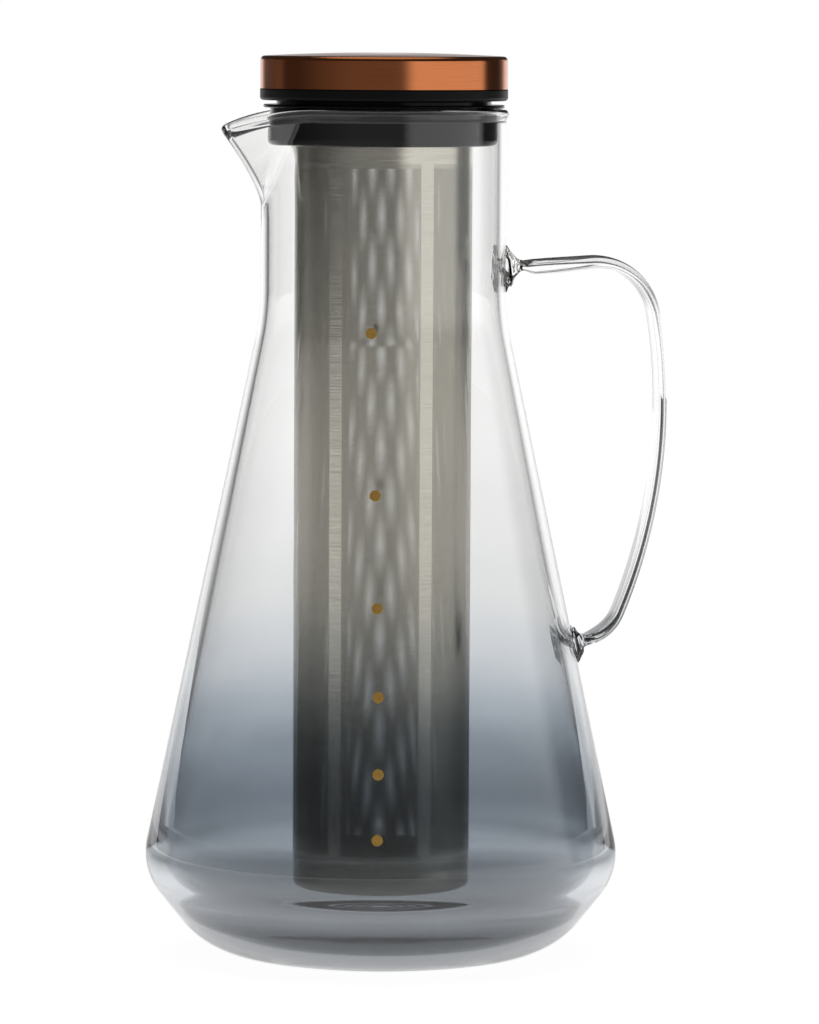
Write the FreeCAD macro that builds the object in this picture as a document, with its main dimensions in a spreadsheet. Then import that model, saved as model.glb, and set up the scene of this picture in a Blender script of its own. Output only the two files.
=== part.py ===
import FreeCAD, Part
import math
import os
import re

import Sketcher

# A cold brew coffee maker: glass carafe with a strap handle and a pulled spout, a steel filter
# hung from a silicone collar in the neck, and a lid. Millimetres, +Z up. The origin is the middle
# of the ring that the carafe stands on; the handle points along +X and the spout along -X.

# ---------------------------------------------------------------- driving dimensions (mm, degrees)
SIZES = {
    # glass, outside
    "neck_radius": 36.8,
    "neck_start": 201.0,
    "neck_sweep": 77.8,
    "rim_height": 254.5,
    "rim_flare": 0.7,
    "lip_height": 3.0,
    "belly_radius": 71.0,
    "belly_height": 30.7,
    "shoulder_round": 19.1,
    "foot_inset": 32.9,
    "foot_round": 28.6,
    "ring_width": 4.1,
    "punt_rise": 3.0,
    # glass, inside
    "neck_wall": 2.4,
    "belly_wall": 5.8,
    "bowl_sweep": 114.0,
    "floor_height": 4.5,
    "boss_inset": 15.1,
    "boss_rise": 2.8,
    # levels between the bands of the glass
    "band_one": 10.0,
    "band_two": 30.0,
    "band_three": 60.0,
    "band_four": 120.0,
    "band_five": 200.0,
    # spout
    "spout_height": 29.5,
    "spout_drop": 6.0,
    "spout_reach": 12.9,
    "spout_curve": 1.4,
    "spout_wall": 2.3,
    "spout_round": 5.5,
    "spout_spread": 2.6,
    "mouth_length": 27.7,
    # handle
    "handle_start": 207.4,
    "handle_top": 209.0,
    "handle_stand": 13.8,
    "grip_height": 166.0,
    "grip_sweep": 165.0,
    "top_bend": 19.0,
    "foot_bend": 14.0,
    "strap_width": 14.0,
    "strap_thickness": 3.4,
    "strap_edge": 1.5,
    "pad_depth": 5.6,
    "foot_depth": 4.2,
    "pad_width": 15.0,
    "pad_tall": 12.4,
    "pad_edge": 5.0,
    # level marks
    "mark_radius": 1.65,
    "mark_thickness": 0.2,
    "mark_bearing": 97.5,
    "mark_drift": 4.5,
    "mark_one": 42.9,
    "mark_two": 61.7,
    "mark_three": 83.8,
    "mark_four": 109.3,
    "mark_five": 141.9,
    "mark_six": 189.0,
    # filter
    "filter_turn": -8.0,
    "filter_gap": 7.8,
    "tube_wall": 0.5,
    "cup_bottom": 18.5,
    "cup_height": 5.2,
    "cup_round": 3.0,
    "cup_lip": 1.2,
    "bottom_band": 6.6,
    "top_band": 5.1,
    "rib_width": 4.2,
    "window_count": 6,
    "flange_width": 3.7,
    "flange_thickness": 0.7,
    "sleeve_wall": 0.6,
    # silicone collar
    "collar_depth": 11.2,
    "collar_round": 1.8,
    "fin_inset": 0.65,
    "fin_thickness": 1.0,
    "fin_round": 0.4,
    "hub_inset": 4.55,
    "hub_height": 0.9,
    "ledge_depth": 2.1,
    # lid
    "cap_reach": 0.3,
    "cap_height": 10.8,
    "cap_wall": 0.7,
    "cap_dome": 1.1,
    "cap_round": 1.4,
    "ring_proud": 0.05,
    "ring_height": 3.5,
    "ring_round": 1.0,
    "ring_depth": 4.1,
    "plug_gap": 1.2,
    "plug_wall": 2.0,
    "plug_depth": 10.0,
    "recess_depth": 2.0,
    "seal_drop": 5.8,
    "seal_height": 2.0,
    "seal_bite": 1.0,
    "seal_round": 0.9,
    # running clearance between pieces that part from each other
    "clearance": 0.3,
}

# Lengths that more than one piece uses, written with the aliases above.
CONTACT_RADIUS = "(belly_radius - foot_inset)"
PUNT_RADIUS = f"({CONTACT_RADIUS} - ring_width)"
BOSS_RADIUS = f"({CONTACT_RADIUS} - boss_inset)"
BOWL_RADIUS = "(belly_radius - belly_wall)"
BANDS = ("0", "band_one", "band_two", "band_three", "band_four", "band_five")
BAND_TOPS = (*BANDS[1:], "(rim_height + lip_height)")
RIM_RADIUS = "(neck_radius + rim_flare)"
NECK_BORE = "(neck_radius - neck_wall)"
SPOUT_START = "(rim_height - spout_height)"
SPOUT_TIP = "(rim_height - spout_drop)"
MOUTH_START = "(neck_radius + spout_reach - mouth_length)"
FIN_RADIUS = "(neck_radius - fin_inset)"
HUB_RADIUS = "(neck_radius - hub_inset)"
TUBE_RADIUS = f"({NECK_BORE} - filter_gap)"
FLANGE_RADIUS = f"({TUBE_RADIUS} + flange_width)"
CAP_RADIUS = "(neck_radius + cap_reach)"
RING_RADIUS = f"({CAP_RADIUS} + ring_proud)"
RING_SEAT = f"({CAP_RADIUS} - ring_depth)"
RIM_ROUND = f"(({RIM_RADIUS} - neck_radius + neck_wall) / 2)"
COLLAR_RADIUS = f"({NECK_BORE} - clearance)"
FIN_BOTTOM = "(rim_height + clearance)"
FIN_TOP = f"({FIN_BOTTOM} + fin_thickness)"
HUB_TOP = f"({FIN_TOP} + hub_height)"
COLLAR_BOTTOM = f"({FIN_BOTTOM} - collar_depth)"
LEDGE = f"({FIN_BOTTOM} - ledge_depth)"
POCKET_RADIUS = f"({FLANGE_RADIUS} + clearance)"
FLANGE_TOP = f"({LEDGE} + flange_thickness)"
SLEEVE_RADIUS = f"({TUBE_RADIUS} + sleeve_wall)"
TUBE_BORE = f"({TUBE_RADIUS} - tube_wall)"
CUP_TOP = "(cup_bottom + cup_height)"
WINDOW_BOTTOM = f"({CUP_TOP} + bottom_band)"
WINDOW_HEIGHT = f"({COLLAR_BOTTOM} - top_band - {WINDOW_BOTTOM})"
LID_BOTTOM = f"({HUB_TOP} + clearance)"
CAP_BOTTOM = f"({LID_BOTTOM} + ring_height)"
CAP_TOP = f"({CAP_BOTTOM} + cap_height)"
CAP_EDGE = f"({CAP_TOP} - cap_dome)"
CAP_BORE = f"({CAP_RADIUS} - cap_wall)"
DOME_RADIUS = f"(({CAP_RADIUS} ^ 2 + cap_dome ^ 2) / (2 * cap_dome))"
CAP_INNER_EDGE = (
    f"({CAP_TOP} - {DOME_RADIUS} + sqrt(({DOME_RADIUS} - cap_wall) ^ 2 - {CAP_BORE} ^ 2))"
)
PLUG_RADIUS = f"({TUBE_BORE} - plug_gap)"
GROOVE_RADIUS = f"({PLUG_RADIUS} - seal_bite)"
GROOVE_TOP = f"({LID_BOTTOM} - seal_drop)"
GROOVE_BOTTOM = f"({GROOVE_TOP} - seal_height)"

# The cone's normal leans up by this angle; the lower end of the handle meets it squarely.
CONE_RUN = "(neck_radius + neck_sweep - belly_radius + shoulder_round)"
CONE_RISE = "(neck_start - belly_height)"
CONE_TILT = (
    f"(atan2({CONE_RISE}; {CONE_RUN})"
    f" - acos((shoulder_round + neck_sweep) / hypot({CONE_RISE}; {CONE_RUN})))"
)
# The bends at both ends of the handle touch the long sweep of the grip from inside. The lower one
# also keeps the pad's depth from the cone: FOOT_REACH is its distance from the grip's centre along
# the cone's normal, and FOOT_DROP the one down the cone.
GRIP_X = "(belly_radius + handle_stand - grip_sweep)"
TOP_BEND_Z = "(handle_top - top_bend)"
TOP_BEND_X = f"({GRIP_X} + sqrt((grip_sweep - top_bend) ^ 2 - ({TOP_BEND_Z} - grip_height) ^ 2))"
FOOT_REACH = (
    f"((belly_radius - shoulder_round - {GRIP_X}) * cos({CONE_TILT})"
    f" + (belly_height - grip_height) * sin({CONE_TILT}) + shoulder_round + foot_depth)"
)
FOOT_DROP = f"sqrt((grip_sweep - foot_bend) ^ 2 - {FOOT_REACH} ^ 2)"
FOOT_BEND_X = f"({GRIP_X} + {FOOT_REACH} * cos({CONE_TILT}) + {FOOT_DROP} * sin({CONE_TILT}))"
FOOT_BEND_Z = f"(grip_height + {FOOT_REACH} * sin({CONE_TILT}) - {FOOT_DROP} * cos({CONE_TILT}))"
HANDLE_START_X = "(neck_radius + pad_depth)"
HANDLE_RISE = (
    f"(atan2({TOP_BEND_Z} - handle_start; {TOP_BEND_X} - {HANDLE_START_X})"
    f" + asin(top_bend / hypot({TOP_BEND_Z} - handle_start; {TOP_BEND_X} - {HANDLE_START_X})))"
)
HANDLE_END_X = f"({FOOT_BEND_X} + foot_bend * sin({CONE_TILT}))"
HANDLE_END_Z = f"({FOOT_BEND_Z} - foot_bend * cos({CONE_TILT}))"

MARKS = ("mark_one", "mark_two", "mark_three", "mark_four", "mark_five", "mark_six")
# Shares of the way from the spout's start to its tip; the last is at the rim's height.
SPOUT_SHARES = ("0", "0.3", "0.6", "0.9", "(spout_height / (spout_height - spout_drop))")

Vector = FreeCAD.Vector
doc = FreeCAD.newDocument("ColdBrewMaker")
sheet = doc.addObject("Spreadsheet::Sheet", "Sizes")
for row, (alias, size) in enumerate(SIZES.items(), start=1):
    sheet.set(f"A{row}", alias)
    sheet.set(f"B{row}", str(size))
    sheet.setAlias(f"B{row}", alias)
doc.recompute()


# ------------------------------------------------------------------------------- helpers
def value(text):
    """The number that an expression of aliases gives."""
    return float(sheet.evalExpression(str(text)))


def tied(text):
    """The same expression as other objects write it."""
    return re.sub(r"[a-z_]+", lambda w: "Sizes." + w[0] if w[0] in SIZES else w[0], str(text))


def bind(thing, name, text):
    """Tie a property of an object to the sheet."""
    thing.setExpression(name, tied(text))


def new_body(label):
    """An empty body with its own label."""
    body = doc.addObject("PartDesign::Body", label)
    body.Label = label
    return body


class Outline:
    """A closed sketch outline of lines and arcs, with its sizes tied to the sheet."""

    def __init__(self, body, name, plane="XZ_Plane", offset=None):
        planes = [feature for feature in body.Origin.OriginFeatures if feature.Role == plane]
        self.sketch = body.newObject("Sketcher::SketchObject", name)
        self.sketch.AttachmentSupport = (planes[0], [""])
        self.sketch.MapMode = "FlatFace"
        if offset is not None:
            bind(self.sketch, "AttachmentOffset.Base.z", offset)
        self.chain = []  # (geometry index, its first point, its last point)

    def line(self, start, end):
        """A straight run between two points."""
        segment = Part.LineSegment(Vector(*start, 0), Vector(*end, 0))
        self.chain.append((self.sketch.addGeometry(segment, False), 1, 2))
        return self.chain[-1]

    def arc(self, centre, radius, start, end):
        """An arc from one angle to the other, in radians; it turns clockwise if end < start."""
        circle = Part.Circle(Vector(*centre, 0), Vector(0, 0, 1), radius)
        low, high = min(start, end), max(start, end)
        index = self.sketch.addGeometry(Part.ArcOfCircle(circle, low, high), False)
        self.chain.append((index, 1, 2) if end > start else (index, 2, 1))
        return self.chain[-1]

    def join(self, smooth=(), closed=True):
        """Share each joint; the pieces in smooth run tangent into the next piece."""
        last = len(self.chain) if closed else len(self.chain) - 1
        for place, here in enumerate(self.chain[:last]):
            after = self.chain[(place + 1) % len(self.chain)]
            kind = "Tangent" if here in smooth else "Coincident"
            self.sketch.addConstraint(
                Sketcher.Constraint(kind, here[0], here[2], after[0], after[1])
            )

    def size(self, kind, where, text):
        """One dimension of the sketch, tied to the sheet."""
        index = self.sketch.addConstraint(Sketcher.Constraint(kind, *where, value(text)))
        bind(self.sketch, f"Constraints[{index}]", text)

    def place(self, piece, point, across, up):
        """Fix one end (1 or 2) or the centre (3) of a piece at a distance from the origin."""
        for kind, text, axis in (("DistanceX", across, -2), ("DistanceY", up, -1)):
            if text is None:
                continue
            if str(text) == "0":
                self.sketch.addConstraint(
                    Sketcher.Constraint("PointOnObject", piece[0], point, axis)
                )
            else:
                self.size(kind, (-1, 1, piece[0], point), text)

    def domed(self, start, end):
        """An arc between two points whose centre lies on the upright axis."""
        squares = end[0] ** 2 + end[1] ** 2 - start[0] ** 2 - start[1] ** 2
        centre = squares / (2 * (end[1] - start[1]))
        radius = math.hypot(start[0], start[1] - centre)
        turn = [math.atan2(point[1] - centre, point[0]) for point in (start, end)]
        return self.arc((0, centre), radius, *turn)

    def polygon(self, corners, domes=()):
        """Runs through corners given as pairs of expressions, closed; those in domes are arcs."""
        points = [(value(x), value(y)) for x, y in corners]
        for place, start in enumerate(points):
            draw = self.domed if place in domes else self.line
            draw(start, points[(place + 1) % len(points)])
        self.join()
        for piece, (across, up) in zip(self.chain, corners):
            self.place(piece, 1 if piece[1] == 1 else 2, across, up)
        for place in domes:
            self.place(self.chain[place], 3, "0", None)
        return self

    def rounded(self, wide, tall, corner, height):
        """A rectangle with round corners, its middle at a height on the upright axis."""
        half, up, turn = value(wide) / 2, value(tall) / 2, value(corner)
        middle, quarter = value(height), math.pi / 2
        centres = [
            (half - turn, middle - up + turn),
            (half - turn, middle + up - turn),
            (turn - half, middle + up - turn),
            (turn - half, middle - up + turn),
        ]
        for place, centre in enumerate(centres):
            start = (place - 1) * quarter
            after = centres[(place + 1) % 4]
            self.arc(centre, turn, start, start + quarter)
            self.line(
                on_circle(centre, turn, start + quarter), on_circle(after, turn, start + quarter)
            )
        self.join(smooth=tuple(self.chain))
        arcs, lines = self.chain[::2], self.chain[1::2]
        for place, (bend, side) in enumerate(zip(arcs, lines)):
            self.size("Radius", (bend[0],), corner)
            level = place % 2 == 1
            kind = "Horizontal" if level else "Vertical"
            self.sketch.addConstraint(Sketcher.Constraint(kind, side[0]))
            sign = "-" if place >= 2 else ""
            if level:
                self.place(side, 1, None, f"{height} {sign or '+'} {tall} / 2")
            else:
                self.place(side, 1, f"{sign}{wide} / 2", None)
        return self


def revolve(body, outline, kind="Revolution"):
    """Turn an outline once round the upright axis; Groove cuts with it."""
    feature = body.newObject(f"PartDesign::{kind}", kind)
    feature.Profile = outline.sketch
    feature.ReferenceAxis = (outline.sketch, ["V_Axis"])
    feature.Angle = 360
    doc.recompute()
    return feature


def turned(label, corners, domes=()):
    """A body turned from one closed outline."""
    body = new_body(label)
    revolve(body, Outline(body, label + "_outline").polygon(corners, domes))
    return body


def ring_blank(label, outer, inner, bottom, height):
    """A plain upright tube."""
    top = f"{bottom} + {height}"
    return turned(label, [(inner, bottom), (outer, bottom), (outer, top), (inner, top)])


def joined(kind, label, base, tool):
    """Cut one shape from another, or keep what they share."""
    result = doc.addObject(f"Part::{kind}", label)
    result.Label = label
    result.Base = base
    result.Tool = tool
    doc.recompute()
    return result


def round_edges(body, size, *rings):
    """Round the circular edges at each (radius, height)."""
    base = body.Tip
    names = []
    for radius, height in rings:
        for number, edge in enumerate(base.Shape.Edges, start=1):
            if edge.Degenerated or not isinstance(edge.Curve, Part.Circle):
                continue
            near = abs(edge.Curve.Radius - value(radius)) < 1e-4
            if near and abs(edge.Curve.Center.z - value(height)) < 1e-4:
                names.append(f"Edge{number}")
    fillet = body.newObject("PartDesign::Fillet", "Rounding")
    fillet.Base = (base, names)
    bind(fillet, "Radius", size)
    doc.recompute()


def tangent_angle(first, first_radius, second, second_radius):
    """Angle of the normal of the line that two circles share; a negative radius swaps its side."""
    across, up = second[0] - first[0], second[1] - first[1]
    reach = math.hypot(across, up)
    return math.atan2(up, across) - math.acos((first_radius - second_radius) / reach)


def on_circle(centre, radius, angle):
    """The point of a circle at an angle."""
    return centre[0] + radius * math.cos(angle), centre[1] + radius * math.sin(angle)


# ------------------------------------------------------------------------------- glass
def glass_outside(body, name):
    """The outside of the glass as a solid: base, foot, shoulder, cone, neck and lip."""
    outline = Outline(body, name)
    foot_round, shoulder_round = value("foot_round"), value("shoulder_round")
    sweep = value("neck_sweep")
    foot = (value(CONTACT_RADIUS), foot_round)
    shoulder = (value("belly_radius - shoulder_round"), value("belly_height"))
    neck = (value("neck_radius + neck_sweep"), value("neck_start"))
    low = tangent_angle(foot, foot_round, shoulder, shoulder_round)
    high = tangent_angle(shoulder, shoulder_round, neck, -sweep)
    lip = (value("neck_radius"), value("rim_height - lip_height"))
    rim_round = value(RIM_ROUND)
    rim = (value(RIM_RADIUS) - rim_round, value("rim_height") - rim_round)
    top = value("rim_height")

    punt = outline.domed((0, value("punt_rise")), (value(PUNT_RADIUS), 0))
    ring = outline.line((value(PUNT_RADIUS), 0), (foot[0], 0))
    foot_arc = outline.arc(foot, foot_round, -math.pi / 2, low)
    under = outline.line(on_circle(foot, foot_round, low), on_circle(shoulder, shoulder_round, low))
    shoulder_arc = outline.arc(shoulder, shoulder_round, low, high)
    cone = outline.line(on_circle(shoulder, shoulder_round, high), on_circle(neck, -sweep, high))
    neck_arc = outline.arc(neck, sweep, math.pi + high, math.pi)
    tube = outline.line((lip[0], neck[1]), lip)
    flare = outline.line(lip, (value(RIM_RADIUS), rim[1]))
    rim_arc = outline.arc(rim, rim_round, 0, math.pi / 2)
    lid = outline.line((rim[0], top), (0, top))
    axis = outline.line((0, top), (0, value("punt_rise")))

    outline.join(smooth=(ring, foot_arc, under, shoulder_arc, cone, neck_arc))
    outline.place(punt, 3, "0", None)
    outline.place(ring, 1, PUNT_RADIUS, "0")
    outline.place(ring, 2, CONTACT_RADIUS, "0")
    outline.size("Radius", (foot_arc[0],), "foot_round")
    outline.size("Radius", (shoulder_arc[0],), "shoulder_round")
    outline.place(shoulder_arc, 3, "belly_radius - shoulder_round", "belly_height")
    outline.size("Radius", (neck_arc[0],), "neck_sweep")
    outline.place(neck_arc, 3, "neck_radius + neck_sweep", "neck_start")
    outline.place(tube, 2, "neck_radius", "rim_height - lip_height")
    outline.place(rim_arc, 1, RIM_RADIUS, f"rim_height - {RIM_ROUND}")
    outline.place(rim_arc, 3, f"{RIM_RADIUS} - {RIM_ROUND}", None)
    outline.place(lid, 1, f"{RIM_RADIUS} - {RIM_ROUND}", "rim_height")
    outline.place(axis, 1, "0", "rim_height")
    outline.place(axis, 2, "0", "punt_rise")
    return outline


def glass_inside(body, name):
    """The hollow of the glass: floor, foot, heel, bowl, cone, neck and the inner half of the rim."""
    outline = Outline(body, name)
    foot_text, heel_text = "(foot_round - floor_height)", "(shoulder_round - belly_wall)"
    foot_round, heel_round, sweep = value(foot_text), value(heel_text), value("bowl_sweep")
    floor, bore = value("floor_height"), value(NECK_BORE)
    foot = (value(CONTACT_RADIUS), value("foot_round"))
    heel = (value("belly_radius - shoulder_round"), value("belly_height"))
    bowl = (value(f"{BOWL_RADIUS} - bowl_sweep"), value("belly_height"))
    low = tangent_angle(foot, foot_round, heel, heel_round)
    neck_sweep = value("neck_sweep + neck_wall")
    neck = (value("neck_radius + neck_sweep"), value("neck_start"))
    high = tangent_angle(bowl, sweep, neck, -neck_sweep)
    rim_round, top = value(RIM_ROUND), value("rim_height")
    rim = (bore + rim_round, top - rim_round)
    above = value("rim_height + cap_height")

    boss = outline.domed((0, value("floor_height + boss_rise")), (value(BOSS_RADIUS), floor))
    floor_line = outline.line((value(BOSS_RADIUS), floor), (foot[0], floor))
    foot_arc = outline.arc(foot, foot_round, -math.pi / 2, low)
    under = outline.line(on_circle(foot, foot_round, low), on_circle(heel, heel_round, low))
    heel_arc = outline.arc(heel, heel_round, low, 0)
    bowl_arc = outline.arc(bowl, sweep, 0, high)
    cone = outline.line(on_circle(bowl, sweep, high), on_circle(neck, -neck_sweep, high))
    neck_arc = outline.arc(neck, neck_sweep, math.pi + high, math.pi)
    tube = outline.line((bore, neck[1]), (bore, rim[1]))
    rim_arc = outline.arc(rim, rim_round, math.pi, math.pi / 2)
    side = outline.line((rim[0], top), (rim[0], above))
    lid = outline.line((rim[0], above), (0, above))
    axis = outline.line((0, above), (0, value("floor_height + boss_rise")))

    outline.join(smooth=(floor_line, foot_arc, under, heel_arc, bowl_arc, cone, neck_arc))
    outline.place(boss, 3, "0", None)
    outline.place(floor_line, 1, BOSS_RADIUS, "floor_height")
    outline.place(floor_line, 2, CONTACT_RADIUS, "floor_height")
    outline.size("Radius", (foot_arc[0],), foot_text)
    outline.size("Radius", (heel_arc[0],), heel_text)
    outline.place(heel_arc, 3, "belly_radius - shoulder_round", "belly_height")
    outline.size("Radius", (bowl_arc[0],), "bowl_sweep")
    outline.place(bowl_arc, 1, None, "belly_height")
    outline.size("Radius", (neck_arc[0],), "neck_sweep + neck_wall")
    outline.place(neck_arc, 3, "neck_radius + neck_sweep", "neck_start")
    outline.place(tube, 2, NECK_BORE, f"rim_height - {RIM_ROUND}")
    outline.place(rim_arc, 3, f"{NECK_BORE} + {RIM_ROUND}", None)
    outline.place(side, 1, f"{NECK_BORE} + {RIM_ROUND}", "rim_height")
    outline.place(side, 2, f"{NECK_BORE} + {RIM_ROUND}", "rim_height + cap_height")
    outline.place(axis, 1, "0", "rim_height + cap_height")
    outline.place(axis, 2, "0", "floor_height + boss_rise")
    return outline


def spout_section(body, name, share, wall):
    """A level section of the spout, set in by wall: a round nose, and sides that run on to the neck."""
    height = f"{SPOUT_START} + (spout_height - spout_drop) * {share}"
    root = "(neck_radius - neck_wall / 8)"
    reach = f"({root} + neck_wall / 16 + spout_reach * {share} ^ spout_curve)"
    nose_round = f"(spout_round * (1 + spout_spread * (1 - {share}) ^ 2))"
    middle = f"({reach} - {nose_round})"
    lean = f"(({root} - {nose_round}) / {middle})"
    root_x = f"(({wall} - {root}) * {lean})"
    root_y = f"(({root} - {wall}) * sqrt(1 - {lean} ^ 2))"
    tip = f"({nose_round} - {wall})"

    outline = Outline(body, name, "XY_Plane", height)
    turn = math.pi - math.acos(value(lean))
    centre, radius = (-value(middle), 0), value(tip)
    left_root, right_root = (value(root_x), value(root_y)), (value(root_x), -value(root_y))
    nose = outline.arc(centre, radius, turn, 2 * math.pi - turn)
    outline.line(on_circle(centre, radius, -turn), right_root)
    back = outline.line(right_root, left_root)
    left = outline.line(left_root, on_circle(centre, radius, turn))
    outline.join(smooth=(nose, left))
    outline.size("Radius", (nose[0],), tip)
    outline.place(nose, 3, f"-{middle}", "0")
    outline.place(back, 1, root_x, f"-{root_y}")
    outline.place(back, 2, root_x, root_y)
    return outline.sketch


def spout_loft(body, kind, wall):
    """Loft the spout through its sections, to add it or to hollow it."""
    sections = [
        spout_section(body, f"{kind}_{place}", share, wall)
        for place, share in enumerate(SPOUT_SHARES)
    ]
    loft = body.newObject(f"PartDesign::{kind}", kind)
    loft.Profile = sections[0]
    loft.Sections = sections[1:]
    doc.recompute()


def mouth_outline(body):
    """What is cut away above the spout: under it the lip falls in an arc from the rim to the tip."""
    radius_text = "((mouth_length ^ 2 + spout_drop ^ 2) / (2 * spout_drop))"
    radius, rim, above = value(radius_text), value("rim_height"), value("rim_height + cap_height")
    start, far = -value(MOUTH_START), -value("neck_radius + 2 * spout_reach")
    centre = (start, rim - radius)
    turn = math.acos((far - start) / radius)
    outline = Outline(body, "mouth")
    lip = outline.arc(centre, radius, math.pi / 2, turn)
    side = outline.line(on_circle(centre, radius, turn), (far, above))
    top = outline.line((far, above), (start, above))
    outline.line((start, above), (start, rim))
    outline.join()
    outline.size("Radius", (lip[0],), radius_text)
    outline.place(lip, 3, f"-{MOUTH_START}", None)
    outline.place(lip, 1, f"-{MOUTH_START}", "rim_height")
    outline.place(side, 1, "-neck_radius - 2 * spout_reach", None)
    outline.place(side, 2, "-neck_radius - 2 * spout_reach", "rim_height + cap_height")
    outline.place(top, 2, f"-{MOUTH_START}", "rim_height + cap_height")
    return outline


def blown_glass():
    """The vessel: a turned solid, the spout drawn out of it, the hollow, and the falling mouth."""
    body = new_body("blown_glass")
    revolve(body, glass_outside(body, "outside"))
    spout_loft(body, "AdditiveLoft", "0")
    revolve(body, glass_inside(body, "inside"), "Groove")
    spout_loft(body, "SubtractiveLoft", "spout_wall")
    cut = body.newObject("PartDesign::Pocket", "Mouth")
    cut.Profile = mouth_outline(body).sketch
    cut.Midplane = True
    bind(cut, "Length", "4 * neck_radius")
    doc.recompute()
    return body


def carafe_glass():
    """The vessel in level bands that lie face to face, from the bowl up to the neck."""
    vessel = blown_glass()
    bands = []
    for place, (low, high) in enumerate(zip(BANDS, BAND_TOPS), start=1):
        slab = doc.addObject("Part::Box", f"slab_{place}")
        bind(slab, "Length", "4 * belly_radius")
        bind(slab, "Width", "4 * belly_radius")
        bind(slab, "Height", f"{high} - {low}")
        bind(slab, "Placement.Base.x", "-2 * belly_radius")
        bind(slab, "Placement.Base.y", "-2 * belly_radius")
        bind(slab, "Placement.Base.z", low)
        bands.append(joined("Common", f"band_{place}", vessel, slab))
    glass = doc.addObject("Part::Compound", "carafe_glass")
    glass.Links = bands
    doc.recompute()
    return glass


def glass_envelope():
    """The outside of the glass by itself, which pieces on the glass are cut to fit."""
    body = new_body("glass_envelope")
    revolve(body, glass_outside(body, "envelope_outline"))
    return body


def wall_at(height):
    """Radius of the cone or the neck at a height, and the lean of its normal in degrees."""
    tilt = math.radians(value(CONE_TILT))
    above = value("neck_start") - height
    sweep = value("neck_sweep")
    if above <= 0:
        return value("neck_radius"), 0.0
    if above < sweep * math.sin(tilt):
        lean = math.asin(above / sweep)
        return value("neck_radius") + sweep * (1 - math.cos(lean)), math.degrees(lean)
    shoulder = value("belly_radius - shoulder_round")
    reach = value("shoulder_round") - (height - value("belly_height")) * math.sin(tilt)
    return shoulder + reach / math.cos(tilt), math.degrees(tilt)


def level_marks(envelope):
    """Six round enamel dots, one above the other, each square to the glass and cut to its curve.

    The column turns a little round the glass towards the top.
    """
    dots = []
    low, high = value("mark_two"), value("mark_six")
    for name in MARKS:
        height = value(name)
        radius, lean = wall_at(height)
        dot = doc.addObject("Part::Cylinder", name)
        bind(dot, "Radius", "mark_radius")
        bind(dot, "Height", "neck_wall / 2 + mark_thickness")
        upright = FreeCAD.Rotation(Vector(0, 1, 0), 90 - lean)
        drift = value("mark_drift") * ((height - low) / (high - low)) ** 2
        around = FreeCAD.Rotation(Vector(0, 0, 1), -value("mark_bearing") - drift)
        turn = around.multiply(upright)
        sunk = turn.multVec(Vector(0, 0, -value("neck_wall / 2")))
        dot.Placement = FreeCAD.Placement(around.multVec(Vector(radius, 0, height)) + sunk, turn)
        dots.append(dot)
    blanks = doc.addObject("Part::Compound", "mark_blanks")
    blanks.Links = dots
    return joined("Cut", "level_marks", blanks, envelope)


# ------------------------------------------------------------------------------- handle
def strap_section(body, name, wide="strap_width", tall="strap_thickness", edge="strap_edge"):
    """The strap's own section, or another flat one with round edges, upright on the origin."""
    return Outline(body, name, "YZ_Plane", "0").rounded(wide, tall, edge, "0")


def handle_strap():
    """Flat strap bent in one plane: rising run, top bend, long grip and bottom bend."""
    body = new_body("handle_strap")
    path = Outline(body, "path")
    grip, sweep = (value(GRIP_X), value("grip_height")), value("grip_sweep")
    top, top_round = (value(TOP_BEND_X), value(TOP_BEND_Z)), value("top_bend")
    foot, foot_round = (value(FOOT_BEND_X), value(FOOT_BEND_Z)), value("foot_bend")
    start = (value(HANDLE_START_X), value("handle_start"))
    meet = math.radians(value(HANDLE_RISE) + 90)
    high = math.atan2(top[1] - grip[1], top[0] - grip[0])
    low = math.atan2(foot[1] - grip[1], foot[0] - grip[0])
    end = math.radians(value(CONE_TILT) - 90)
    run = path.line(start, on_circle(top, top_round, meet))
    top_arc = path.arc(top, top_round, meet, high)
    grip_arc = path.arc(grip, sweep, high, low)
    foot_arc = path.arc(foot, foot_round, low, end)
    path.join(smooth=(run, top_arc, grip_arc), closed=False)
    path.place(run, 1, HANDLE_START_X, "handle_start")
    path.size("Radius", (top_arc[0],), "top_bend")
    path.place(top_arc, 3, None, TOP_BEND_Z)
    path.size("Radius", (grip_arc[0],), "grip_sweep")
    path.place(grip_arc, 3, GRIP_X, "grip_height")
    path.size("Radius", (foot_arc[0],), "foot_bend")
    path.place(foot_arc, 3, None, FOOT_BEND_Z)
    path.place(foot_arc, foot_arc[2], None, HANDLE_END_Z)
    pipe = body.newObject("PartDesign::AdditivePipe", "Strap")
    section = strap_section(body, "strap_section").sketch
    section.AttachmentOffset = FreeCAD.Placement(Vector(), FreeCAD.Rotation(Vector(-1, 0, 0), 1))
    bind(section, "AttachmentOffset.Rotation.Angle", HANDLE_RISE)
    bind(section, "AttachmentOffset.Base.y", "handle_start")
    bind(section, "AttachmentOffset.Base.z", HANDLE_START_X)
    pipe.Profile = section
    pipe.Spine = path.sketch
    doc.recompute()
    return body


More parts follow.
